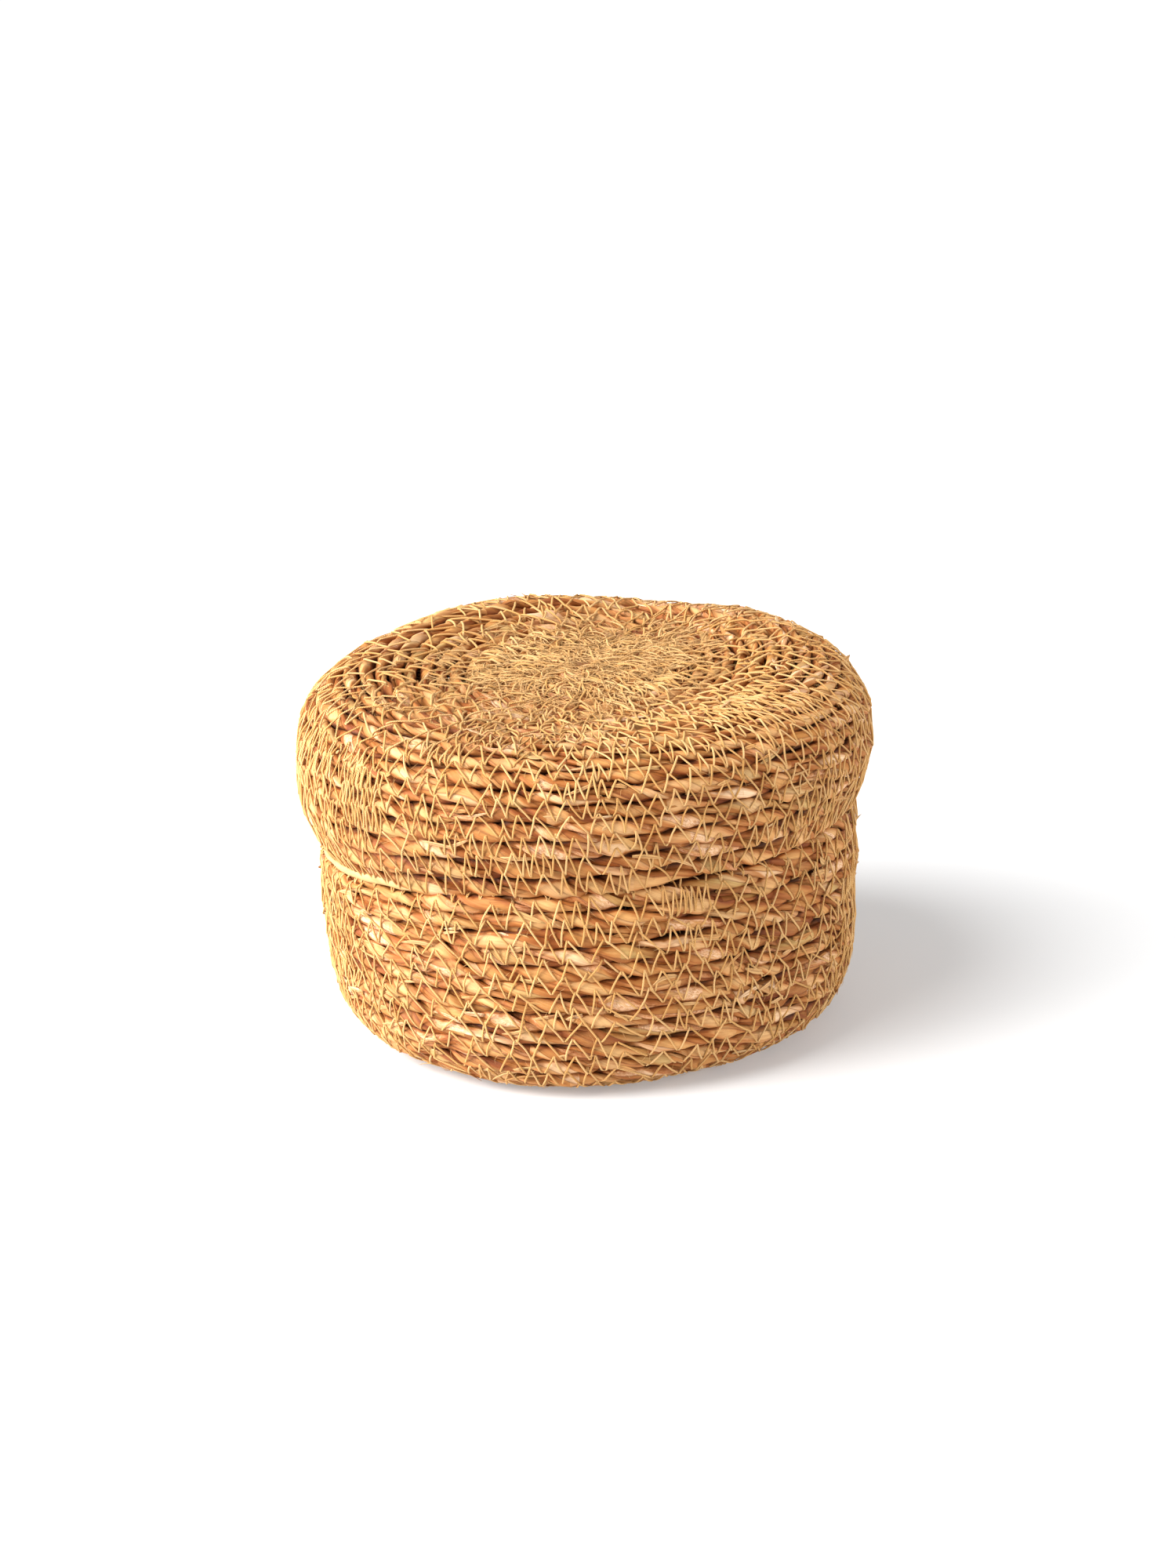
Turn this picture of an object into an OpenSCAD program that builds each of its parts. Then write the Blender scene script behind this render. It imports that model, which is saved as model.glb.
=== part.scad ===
// Round lidded basket made of one coiled and stitched seagrass cord, and a lid of a second one.
// Millimetres. +Z is up, and the origin is the middle of the underside.
//
// Each piece is drawn as the turns of its cord: a row of round sections, spun about the axis.
// A path is the list of its turns, [radius, height], from the middle of the floor (or of the
// lid's top) outwards. Every turn is one pitch from the one before it.

/* [Cord] */
// Distance from one turn of the cord to the next
turn_pitch = 5.5; // [5:0.1:6]
// Radius of the cord; more than half the pitch, because the stitches pull the turns together
cord_r = 3.1; // [3.05:0.05:3.3]
// Radius of the sewing thread
thread_r = 0.5; // [0.4:0.05:0.6]

/* [Base] */
// Turns in the flat floor
floor_turns = 12; // [10:1:13]
// Turns in the rounded edge between the floor and the wall
corner_turns = 6; // [6:1:6]
// Turns in the wall, up to the ledge
wall_turns = 9; // [7:1:11]
// Outer radius of the wall just above the rounded edge
wall_low_r = 92; // [91:0.5:92.5]
// Outer radius of the rounded edge's curve
corner_out_r = 26.3; // [25.5:0.1:27]
// How much wider the wall is at its top than at its bottom
wall_flare = 1.5; // [0:0.5:2]
// How far the wall swells out at half its height
wall_swell = 0.8; // [0:0.2:1]
// Turns in the neck that stands inside the lid
neck_turns = 3; // [2:1:4]
// Depth of the flat on the underside, where the cord rests
rest_flat = 0.35; // [0.2:0.05:0.5]

/* [Lid] */
// Turns in the top of the lid
top_turns = 12; // [12:1:12]
// Turns in the rounded shoulder
shoulder_turns = 9; // [9:1:9]
// Turns in the lid's wall, the rim included
lid_wall_turns = 4; // [3:1:5]
// Outer radius of the lid at its widest, where the shoulder begins
lid_wide_r = 100; // [99:0.5:101]
// Outer radius of the lid at its rim
lid_rim_r = 95; // [94.5:0.5:96]
// Outer radius of the shoulder's curve
shoulder_r = 32; // [31.5:0.5:32.5]
// How far the middle of the top sinks below its edge
dish_depth = 5; // [0:0.5:6]

/* [Fit] */
// Gap between the lid's rim and the turn that it rests on
rest_gap = 0.3; // [0.3:0.05:0.5]
// Gap between the neck's cord and the inside of the lid's rim
neck_gap = 2.5; // [2:0.1:3]

/* [Hidden] */
$fn = 96;
cord_colour = [0.72, 0.55, 0.36];
cord_dark = [0.63, 0.46, 0.29];
thread_colour = [0.86, 0.68, 0.40];

// Base: the floor ends where the rounded edge begins, and the edge is a quarter of a circle
floor_edge_r = wall_low_r - corner_out_r;
corner_r = corner_out_r - cord_r;
floor_z = cord_r - rest_flat;
corner_start = turn_pitch * (floor_turns + 0.5) - floor_edge_r;
wall_first_rise = 0.35;
corner_step = (corner_r * PI / 2 + wall_first_rise - corner_start) / corner_turns;
wall_first_z = floor_z + corner_r + wall_first_rise;
wall_top_z = wall_first_z + turn_pitch * (wall_turns - 1);
wall_top_r = wall_low_r - cord_r + wall_flare;

// Where the lid rests, and the two turns that step in from the wall to the neck
rim_z = wall_top_z + cord_r + rest_gap;
neck_r = lid_rim_r - 3 * cord_r - neck_gap;
ledge_drop = 0.3;
ledge_r = wall_top_r - turn_pitch * cos(asin(ledge_drop));
ledge_z = wall_top_z + turn_pitch * ledge_drop;
neck_first_z = ledge_z + sqrt(turn_pitch ^ 2 - (ledge_r - neck_r) ^ 2);

// Lid: the shoulder's centre line is a quarter of a circle round [top_edge_r, shoulder_z]
lid_rim_z = rim_z + cord_r;
shoulder_line_r = shoulder_r - cord_r;
top_edge_r = lid_wide_r - shoulder_r;
shoulder_start = turn_pitch * (top_turns + 0.5) - top_edge_r;
wall_drop = shoulder_start + turn_pitch * shoulder_turns - shoulder_line_r * PI / 2;
shoulder_z = lid_rim_z + wall_drop + turn_pitch * (lid_wall_turns - 1);
lid_top_z = shoulder_z + shoulder_line_r;
dish_power = 2.5;

// The first turn leaves a pinhole in the middle
loop_r = turn_pitch / 2 - 0.1;

// The thread lies in the valley between two turns, and bites this far into each
thread_bite = 0.15;
// The cord's loose ends: a thin last stretch sewn along the rim turn
tail_r = 1.3;
tail_sweep = 40;
lid_tail_from = 188;
base_tail_from = 148;

function wall_line_r(t) = wall_low_r - cord_r + wall_flare * t + 4 * wall_swell * t * (1 - t);
function dish(r) = dish_depth * (1 - (r / top_edge_r) ^ dish_power);
function lid_wall_line_r(z) = lid_rim_r - cord_r
    + (lid_wide_r - lid_rim_r) * sin(90 * (z - lid_rim_z) / (shoulder_z - lid_rim_z));

floor_path = [for (i = [0 : floor_turns - 1]) [turn_pitch * (i + 0.5), floor_z]];
corner_path = [for (i = [0 : corner_turns - 1])
    let (a = (corner_start + i * corner_step) / corner_r * 180 / PI)
    [floor_edge_r + corner_r * sin(a), floor_z + corner_r * (1 - cos(a))]];
wall_path = [for (i = [0 : wall_turns - 1])
    [wall_line_r(i / (wall_turns - 1)), wall_first_z + i * turn_pitch]];
ledge_path = [[ledge_r, ledge_z]];
neck_path = [for (i = [0 : neck_turns - 1]) [neck_r, neck_first_z + i * turn_pitch]];
base_path = concat(floor_path, corner_path, wall_path, ledge_path, neck_path);

top_path = [for (i = [0 : top_turns - 1])
    let (r = turn_pitch * (i + 0.5)) [r, lid_top_z - dish(r)]];
shoulder_path = [for (i = [0 : shoulder_turns - 1])
    let (a = (shoulder_start + i * turn_pitch) / shoulder_line_r * 180 / PI)
    [top_edge_r + shoulder_line_r * sin(a), shoulder_z + shoulder_line_r * cos(a)]];
lid_wall_path = [for (i = [1 : lid_wall_turns])
    let (z = lid_rim_z + turn_pitch * (lid_wall_turns - i)) [lid_wall_line_r(z), z]];
lid_path = concat(top_path, shoulder_path, lid_wall_path);

function head(path, n) = [for (i = [0 : n - 1]) path[i]];
function rest(path, n) = [for (i = [n : len(path) - 1]) path[i]];

// Where a thread lies between the turns p and q: side 1 is the path's left, -1 is its right
function valley(p, q, side) =
    let (d = q - p, half = norm(d) / 2, reach = cord_r + thread_r - thread_bite)
    (p + q) / 2 + side * sqrt(reach ^ 2 - half ^ 2) * [-d[1], d[0]] / norm(d);

// Turns of cord, as one closed solid
module coil(path) {
    rotate_extrude() intersection() {
        union() for (p = path) translate(p) circle(cord_r);
        square([2 * lid_wide_r, 3 * lid_wide_r]);
    }
}

// The first turn, bent round on itself as tightly as the cord goes
module centre_loop(path) {
    rotate_extrude() translate(path[0]) circle(loop_r);
}

// One ring of thread in each valley of a path, six-sided to keep it light
module thread(path, side) {
    for (i = [1 : len(path) - 2])
        rotate_extrude() translate(valley(path[i], path[i + 1], side)) circle(thread_r, $fn = 6);
}

// The cord's last stretch, sewn flat along the turn it ends on
module tail(at, from) {
    rotate([0, 0, from]) rotate_extrude(angle = tail_sweep) translate(at) circle(tail_r);
}

module base_centre_loop() { color(cord_dark) centre_loop(floor_path); }
module base_floor_coil() { color(cord_colour) coil(rest(floor_path, 1)); }
module base_corner_coil() { color(cord_colour) coil(corner_path); }
module base_wall_coil() { color(cord_colour) coil(wall_path); }
module base_ledge_coil() { color(cord_dark) coil(ledge_path); }
module base_neck_coil() { color(cord_colour) coil(neck_path); }
module base_cord_tail() {
    end = neck_path[neck_turns - 1];
    color(cord_dark) tail(end - [cord_r + tail_r / 3, 0], base_tail_from);
}
module base_outer_thread() { color(thread_colour) thread(base_path, -1); }
module base_inner_thread() { color(thread_colour) thread(base_path, 1); }

module lid_centre_loop() { color(cord_dark) centre_loop(top_path); }
module lid_top_coil() { color(cord_colour) coil(rest(top_path, 1)); }
module lid_shoulder_coil() { color(cord_colour) coil(shoulder_path); }
module lid_wall_coil() { color(cord_colour) coil(head(lid_wall_path, lid_wall_turns - 1)); }
module lid_rim_coil() { color(cord_dark) coil(rest(lid_wall_path, lid_wall_turns - 1)); }
module lid_cord_tail() {
    rim = lid_wall_path[lid_wall_turns - 1];
    color(cord_dark) tail(rim + [cord_r + tail_r / 3, 0], lid_tail_from);
}
module lid_outer_thread() { color(thread_colour) thread(lid_path, 1); }
module lid_inner_thread() { color(thread_colour) thread(lid_path, -1); }

base_centre_loop();
base_floor_coil();
base_corner_coil();
base_wall_coil();
base_ledge_coil();
base_neck_coil();
base_cord_tail();
base_outer_thread();
base_inner_thread();
lid_centre_loop();
lid_top_coil();
lid_shoulder_coil();
lid_wall_coil();
lid_rim_coil();
lid_cord_tail();
lid_outer_thread();
lid_inner_thread();
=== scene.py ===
"""Looks of the round lidded basket: two-strand seagrass cord, coiled and sewn with cotton thread.

The cord of each body is one spiral. A place on it is u, counted in turns: u = 0 is the middle of
the first turn, and each whole number is one of the CAD model's rings. Lengths are in millimetres
until a mesh is made, which scales them to metres.
"""
import math

import bpy
import numpy as np
from mathutils import Matrix, Vector


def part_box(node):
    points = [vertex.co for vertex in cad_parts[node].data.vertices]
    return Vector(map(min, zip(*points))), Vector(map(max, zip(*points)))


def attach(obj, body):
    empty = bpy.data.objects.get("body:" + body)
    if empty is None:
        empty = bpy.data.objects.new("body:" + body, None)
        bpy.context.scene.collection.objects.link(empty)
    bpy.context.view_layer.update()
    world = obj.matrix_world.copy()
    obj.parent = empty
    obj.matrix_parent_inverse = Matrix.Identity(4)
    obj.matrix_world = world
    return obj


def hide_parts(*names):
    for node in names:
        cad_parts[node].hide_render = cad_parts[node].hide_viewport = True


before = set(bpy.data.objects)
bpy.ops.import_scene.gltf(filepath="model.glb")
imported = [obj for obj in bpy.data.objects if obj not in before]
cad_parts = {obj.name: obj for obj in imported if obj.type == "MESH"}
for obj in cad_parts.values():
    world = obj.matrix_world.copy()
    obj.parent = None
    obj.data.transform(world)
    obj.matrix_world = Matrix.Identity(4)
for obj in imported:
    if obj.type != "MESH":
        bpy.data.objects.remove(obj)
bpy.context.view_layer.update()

MM = 0.001
TAU = 2 * math.pi


def link(name, data):
    """A new object with this data, in the scene."""
    made = bpy.data.objects.new(name, data)
    bpy.context.scene.collection.objects.link(made)
    return made


def facing(back):
    """The turn of a camera or lamp that looks away from the direction back."""
    return back.to_track_quat("Z", "Y").to_matrix().to_4x4()


# -------- the camera

LOOK_AT = Vector((0.0, 0.0, 0.060))
CAMERA_DISTANCE = 1.10
CAMERA_ELEVATION = math.radians(20.5)
CAMERA_ROLL = 0.04
FOCAL_MM = 71.2
SENSOR_MM = 36.0
SHIFT_Y = 0.0375
CLIP_END = 20.0


def add_camera():
    """A long lens, looking down a little from the front, rolled slightly."""
    data = bpy.data.cameras.new("camera")
    data.lens = FOCAL_MM
    data.sensor_width = SENSOR_MM
    data.shift_y = SHIFT_Y
    data.clip_end = CLIP_END
    camera = link("camera", data)
    back = Vector((0.0, -math.cos(CAMERA_ELEVATION), math.sin(CAMERA_ELEVATION)))
    camera.matrix_world = (Matrix.Translation(LOOK_AT + back * CAMERA_DISTANCE)
                           @ facing(back) @ Matrix.Rotation(-CAMERA_ROLL, 4, "Z"))
    bpy.context.scene.camera = camera


# -------- the CAD model's turns

def node_box(name):
    """A CAD node's lowest and highest corners, in millimetres."""
    low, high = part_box(name)
    return np.array(low) / MM, np.array(high) / MM


PITCH = 5.5
FLOOR_TURNS, CORNER_TURNS, WALL_TURNS = 12, 6, 9
TOP_TURNS, SHOULDER_TURNS, LID_WALL_TURNS = 12, 9, 4
CORNER_OUT_R, SHOULDER_OUT_R = 26.3, 32.0
WALL_FLARE, WALL_SWELL, WALL_FIRST_RISE = 1.5, 0.8, 0.35
LEDGE_DROP = 0.3
DISH_DEPTH, DISH_POWER = 5.0, 2.5

ledge_low, ledge_high = node_box("base_ledge_coil")
CORD_R = (ledge_high[2] - ledge_low[2]) / 2
ledge_r, ledge_z = ledge_high[0] - CORD_R, ledge_high[2] - CORD_R
neck_low, neck_high = node_box("base_neck_coil")
neck_r, neck_first_z = neck_high[0] - CORD_R, neck_low[2] + CORD_R
wall_top_z = node_box("base_wall_coil")[1][2] - CORD_R
wall_first_z = wall_top_z - PITCH * (WALL_TURNS - 1)
wall_low_r = ledge_r + PITCH * math.cos(math.asin(LEDGE_DROP)) - WALL_FLARE
corner_r = CORNER_OUT_R - CORD_R
floor_edge_r = wall_low_r - corner_r
floor_z = wall_first_z - corner_r - WALL_FIRST_RISE
corner_start = PITCH * (FLOOR_TURNS + 0.5) - floor_edge_r
corner_step = (corner_r * math.pi / 2 + WALL_FIRST_RISE - corner_start) / CORNER_TURNS
rim_r, rim_z = node_box("lid_rim_coil")[1][[0, 2]] - CORD_R
shoulder_r = SHOULDER_OUT_R - CORD_R
lid_line_r = round(node_box("lid_shoulder_coil")[1][0]) - CORD_R
top_edge_r = lid_line_r - shoulder_r
shoulder_start = PITCH * (TOP_TURNS + 0.5) - top_edge_r
shoulder_z = (rim_z + shoulder_start + PITCH * SHOULDER_TURNS - shoulder_r * math.pi / 2
              + PITCH * (LID_WALL_TURNS - 1))
lid_top_z = shoulder_z + shoulder_r
LAST_WALL = FLOOR_TURNS + CORNER_TURNS + WALL_TURNS - 1
LID_LAST = TOP_TURNS + SHOULDER_TURNS + LID_WALL_TURNS - 1
LEAVES_WALL = LAST_WALL + 0.5      # where the base's cord steps in to the ledge
LEAVES_LEDGE = LEAVES_WALL + 1.0   # and from the ledge to the neck
BASE_LAST = LAST_WALL + 4.5
STEP_AT = math.radians(188.0)      # the side where both cords step from one turn to the next


def base_turns():
    """The middles of the base's turns, from the floor to the top of the wall."""
    flat = [(PITCH * (i + 0.5), floor_z) for i in range(FLOOR_TURNS)]
    edge = []
    for i in range(CORNER_TURNS):
        a = (corner_start + i * corner_step) / corner_r
        edge.append((floor_edge_r + corner_r * math.sin(a), floor_z + corner_r * (1 - math.cos(a))))
    wall = []
    for i in range(WALL_TURNS):
        t = i / (WALL_TURNS - 1)
        wall.append((wall_low_r + WALL_FLARE * t + 4 * WALL_SWELL * t * (1 - t),
                     wall_first_z + i * PITCH))
    return np.array(flat + edge + wall)


def lid_turns():
    """The middles of the lid's turns, from the middle of the top to the rim."""
    top = []
    for i in range(TOP_TURNS):
        r = PITCH * (i + 0.5)
        top.append((r, lid_top_z - DISH_DEPTH * (1 - (r / top_edge_r) ** DISH_POWER)))
    bend = []
    for i in range(SHOULDER_TURNS):
        a = (shoulder_start + i * PITCH) / shoulder_r
        bend.append((top_edge_r + shoulder_r * math.sin(a), shoulder_z + shoulder_r * math.cos(a)))
    wall = []
    for i in range(1, LID_WALL_TURNS + 1):
        z = rim_z + PITCH * (LID_WALL_TURNS - i)
        bulge = math.sin(math.pi / 2 * (z - rim_z) / (shoulder_z - rim_z))
        wall.append((rim_r + (lid_line_r - rim_r) * bulge, z))
    return np.array(top + bend + wall)


def follow(points, u):
    """The place u on a smooth curve through a row of turns, and the curve's slope there."""
    k = np.clip(np.floor(u).astype(int), 0, len(points) - 2)
    t, slope = (u - k)[..., None], np.gradient(points, axis=0)
    p0, p1, m0, m1 = points[k], points[k + 1], slope[k], slope[k + 1]
    at = ((2 * t**3 - 3 * t**2 + 1) * p0 + (t**3 - 2 * t**2 + t) * m0
          + (3 * t**2 - 2 * t**3) * p1 + (t**3 - t**2) * m1)
    going = ((6 * t**2 - 6 * t) * (p0 - p1) + (3 * t**2 - 4 * t + 1) * m0 + (3 * t**2 - 2 * t) * m1)
    at = np.where(t < 0, p0 + t * m0, np.where(t > 1, p1 + (t - 1) * m1, at))
    going = np.where(t < 0, m0, np.where(t > 1, m1, going))
    return at, going


def smooth(x):
    """0 below 0, 1 above 1, and an S-curve between."""
    x = np.clip(x, 0, 1)
    return x * x * (3 - 2 * x)


def mix(a, b, t):
    return a + (b - a) * t


def unit(v):
    return v / (np.linalg.norm(v, axis=-1, keepdims=True) + 1e-9)


def left_of(v):
    """Directions in the r-z plane, turned a quarter to the left."""
    return np.stack([-v[..., 1], v[..., 0]], -1)


def lathe(p, angle):
    """Points of the r-z plane, turned to their angles about the axis."""
    return np.stack([p[..., 0] * np.cos(angle), p[..., 0] * np.sin(angle), p[..., 1]], -1)


def lathe_both(p, out, angle):
    """The same for points and for a direction at each."""
    line = lathe(p, angle)
    return line, lathe(p + out, angle) - line


def round_it(sides, shape):
    """The share of a tube's way round at its sides, for each ring in an array of rings."""
    return np.broadcast_to(np.arange(sides + 1) / sides, shape + (sides + 1,))


BASE_TURNS, LID_TURNS = base_turns(), lid_turns()
STEP_LENGTH = 0.14                 # of a turn, in which the cord steps sideways
LEDGE_CLIMB = np.array([-1.0, 0.6]) * PITCH     # from the ledge's turn to the next, inwards and up
NECK_CLIMB = np.array([0.0, 1.0]) * PITCH
SAG_TURNS, SAG = 2.5, np.array([0.7, 0.5])      # the lid's last turns, and how far they give


def base_line(u):
    """Where the base's cord is, [radius, height], and which way its turns climb."""
    wall, climb = follow(BASE_TURNS, u)
    rise = np.stack([0 * u, PITCH * (u - LAST_WALL - 1)], -1)
    on_ledge = np.array([ledge_r, ledge_z]) + rise
    on_neck = np.array([neck_r, neck_first_z - PITCH]) + rise
    a = smooth((u - LEAVES_WALL) / STEP_LENGTH + 0.5)[..., None]
    b = smooth((u - LEAVES_LEDGE) / STEP_LENGTH + 0.5)[..., None]
    at = mix(mix(wall, on_ledge, a), on_neck, b)
    return at, mix(mix(climb, LEDGE_CLIMB, a), NECK_CLIMB, b)


def lid_line(u):
    """Where the lid's cord is. Its last turns sag on to the ledge and draw in a little."""
    at, climb = follow(LID_TURNS, u)
    sag = smooth((u - LID_LAST + SAG_TURNS) / SAG_TURNS)[..., None]
    return at - sag * SAG, climb


# -------- small irregularities

UNDER_Z = 2.45          # how far the loose underside would reach below the surface it stands on
PRESSED_BELOW = 4.0     # points lower than this are pressed up
# Waves round the wall: size, number of waves, phase, and the phase's change from bottom to top
WALL_WAVES = [(0.55, 2, 0.6, 0), (0.45, 3, 2.1, 2), (0.35, 5, 4.0, -3)]
TOP_Z = 130.0
SEAM_TILT = 6.0         # the seam is not quite level: how far it rises towards its high side
HIGH_SIDE = -0.8        # the direction of that side
SEAM_REACH = 32.0       # how far above and below the seam the tilt reaches
CROWN_FROM, CROWN_OVER = 105.0, 18.0    # the lid's top has its own waves, from this height up
BACK_RISE = (2.1, 1.95, 0.75)           # its edge is higher at the back: size, angle, half width
BACK_DIP = (1.6, 1.1, 0.4)              # and lower at the back right
SHOULDER_R, SHOULDER_Z = 68.0, 98.0     # the middle of the lid's shoulder's curve
SHOULDER_OVER = 32.0    # and its height
SQUARER = 0.17          # how much the shoulder's corner is pushed out at the front
PRESSED_TOP = 6.2       # how far the lid's top is pressed down there
HEEL_OUT, HEEL_DROP = 1.7, 0.9      # how far the rounded lower edge stands out and down in front
HEEL_BULGE, BULGE_AT = 1.4, -0.6    # its bulge at the right front, and in which direction


def ripple(x, seed, shortest, longest, count=6):
    """A smooth random wave of size about 1, with wavelengths in the given range."""
    draw = np.random.default_rng(seed)
    total = 0.0
    for _ in range(count):
        wave = math.exp(draw.uniform(math.log(shortest), math.log(longest)))
        total = total + np.sin(TAU * x / wave + draw.uniform(0, TAU))
    return total * math.sqrt(2.0 / count)


def bell(x, width):
    """1 at 0, and falling off smoothly on both sides."""
    return np.exp(-(x / width) ** 2)


def frontness(angle):
    """1 at the front of the basket, 0 at the back."""
    return (0.5 - 0.5 * np.sin(angle)) ** 1.5


def warp(p):
    """Pushes points about as hand-guided sewing does. Both bodies share it, so they still fit."""
    x, y, z = p[..., 0], p[..., 1], p[..., 2]
    angle, r = np.arctan2(y, x), np.hypot(x, y)
    front, outward = frontness(angle), smooth((r - 20) / 50)
    swell = sum(size * np.sin(waves * angle + phase + change * z / TOP_Z)
                for size, waves, phase, change in WALL_WAVES) * outward
    seam = bell(z - rim_z, SEAM_REACH) * r / 92
    lift = seam * (SEAM_TILT * np.cos(angle - HIGH_SIDE) + 0.4 * np.sin(3 * angle + 1.0))
    # the lid's top has waves of its own
    crown = smooth((z - CROWN_FROM) / CROWN_OVER)
    lift = lift + crown * (0.9 * np.sin(angle * 2 + 1.2) * smooth(r / 60)
                           + 0.5 * np.sin(4 * angle + 0.4) * smooth(r / 40)
                           + 0.6 * np.sin(x / 17.0 + 1.0) * np.cos(y / 21.0))
    for sign, (size, at, width) in ((1, BACK_RISE), (-1, BACK_DIP)):
        lift = lift + sign * size * crown * smooth(r / 70) * bell(angle - at, width)
    # at the front the lid's top is pressed down and its shoulder is squarer
    above, beyond = np.maximum(z - SHOULDER_Z, 0), np.maximum(r - SHOULDER_R, 0)
    square = front * SQUARER * np.sin(2 * np.arctan2(above, beyond + 1e-6)) ** 2
    swell = swell + square * beyond
    lift = lift + square * above
    lift = lift - front * PRESSED_TOP * smooth(above / SHOULDER_OVER) * smooth(r / 70)
    # the rounded lower edge is fuller at the front, and bulges at the right front
    swell = swell + HEEL_OUT * front * bell(z - 3, 12) * smooth((r - 62) / 10)
    swell = swell + HEEL_BULGE * bell(z - 20, 14) * bell(angle - BULGE_AT, 0.5) * outward
    low = z - HEEL_DROP * front * smooth((r - 69) / 6) * smooth((22 - z) / 20)
    # the underside is pressed flat, so that it stands on its cord and thread
    pressed = UNDER_Z * np.clip((PRESSED_BELOW - low) / (PRESSED_BELOW + UNDER_Z), 0, 1)
    grow = 1 + swell / np.maximum(r, 20)
    return np.stack([x * grow, y * grow, low + lift * smooth(z / 12) + pressed], -1)


# -------- a spiral of two-strand cord

STRAND_OUT = 1.38       # from the cord's middle to a strand's middle
STRAND_THICK = 1.72     # a strand's half thickness, away from the cord's middle
STRAND_WIDE = 2.95      # and its half width, across that
STRAND_INSIDE = 0.92    # its flatter inner side, as a share of its thickness
SQUARENESS = 0.92       # below 1, the section is fuller than an ellipse
SQUEEZE = 0.935         # the cord's height over its depth, pressed between its neighbours
GAPPY_SQUEEZE = 0.71    # the same where the turns stand a little apart, on the lid's top
LAY = 40.0              # length of cord in which a strand goes once round
CORD_START = -0.45      # where a cord starts, in turns
WANDER_OUT, WANDER_UP = 0.26, 0.25      # how far a turn strays outwards and along the wall
UNEVEN = 0.035          # how much a cord's thickness varies
STRAND_UNEVEN = 0.15    # and how much one strand's does, at the other's cost


class Spiral:
    """The cord of one body. line gives its turns' places, last is where it ends, and its angle is
    end_angle at turn end_u. way is 1 if it winds anticlockwise seen from above, else -1; outside
    is the side of the line, left (1) or right (-1), that faces outwards. gappy is the turn with
    the widest gaps, 0 for none, and drawn is by how many turns the front is drawn inwards."""

    def __init__(self, body, line, last, end_angle, end_u, way, outside, seed, gappy=0, drawn=0):
        self.body, self.line, self.last = body, line, last
        self.end_angle, self.end_u = end_angle, end_u
        self.way, self.outside, self.seed = way, outside, seed
        self.gappy, self.drawn = gappy, drawn
        self.u_table = np.linspace(CORD_START, last, 6000)
        radius = np.maximum(line(self.u_table)[0][:, 0], 0.5)
        pieces = TAU * (radius[1:] + radius[:-1]) / 2 * np.diff(self.u_table)
        self.s_table = np.concatenate([[0], np.cumsum(pieces)])

    def s(self, u):
        """The length of cord up to turn u."""
        return np.interp(u, self.u_table, self.s_table)

    def u(self, s):
        """The turn at length s."""
        return np.interp(s, self.s_table, self.u_table)

    def angle(self, u):
        return self.end_angle + self.way * TAU * (u - self.end_u)

    def axes(self, u):
        """The cord's middle, its outward direction and its climbing direction, in the r-z plane."""
        at, climb = self.line(u - self.drawn * frontness(self.angle(u)) * self.slide(u))
        climb = unit(climb)
        out = self.outside * left_of(climb)
        s = self.s(u)
        loose = smooth((u + 0.4) / 1.5)[..., None]
        at = at + loose * (WANDER_OUT * ripple(s, self.seed + 1, 30, 140)[..., None] * out
                           + WANDER_UP * ripple(s, self.seed + 2, 35, 160)[..., None] * climb)
        return at, out, climb

    def size(self, u):
        """How full the cord is: 1, but thin where it starts and where it ends."""
        s = self.s(u)
        full = 1 + UNEVEN * ripple(s, self.seed + 3, 25, 90)
        start = mix(0.55, 1.0, smooth((u - CORD_START) / 0.5))
        end = mix(0.35, 1.0, smooth((self.last - u) / 0.11))
        return full * start * end

    def slide(self, u):
        """How far turn u is drawn towards the middle at the front, as a share of the most. It is
        most at the shoulder, so the turns of the lid's wall are fat and wide apart there."""
        return smooth((u - 4) / 14.5) * (1 - np.clip((u - 17.5) / 7, 0, 1) ** 1.3)

    def squeeze(self, u):
        """The cord's height over its depth."""
        gap = self.gappy and smooth((u - 1.5) / 4) * smooth((self.gappy + 6 - u) / 5)
        wider = self.drawn * frontness(self.angle(u)) * (self.slide(u - 0.5) - self.slide(u + 0.5))
        return mix(SQUEEZE, GAPPY_SQUEEZE, gap) * (1 + wider)

    def strand(self, u, j):
        """How far strand j is turned from outwards towards the climb, its distance from the
        cord's middle and its two half sizes."""
        s = self.s(u)
        turn = (TAU * s / LAY + 0.5 * ripple(s, self.seed + 4, 40, 130)
                + 2.0 * ripple(s, self.seed + 5, 400, 1500))
        fat = self.size(u)
        own = 1 + STRAND_UNEVEN * ripple(s, self.seed + 10 + j, 14, 50)
        return (math.pi * j + self.way * self.outside * turn, STRAND_OUT * fat,
                STRAND_THICK * fat * own, STRAND_WIDE * fat * (2 - own))


BASE = Spiral("base", base_line, BASE_LAST, STEP_AT, LEAVES_WALL, way=1, outside=-1, seed=100)
LID = Spiral("lid", lid_line, LID_LAST + 0.5, STEP_AT, LID_LAST + 0.5, way=-1, outside=1, seed=200,
             gappy=12.0, drawn=1.9)


# -------- meshes from arrays

CELL_GAP = 0.06         # share of a cell of the bake's layout that stays empty


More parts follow.
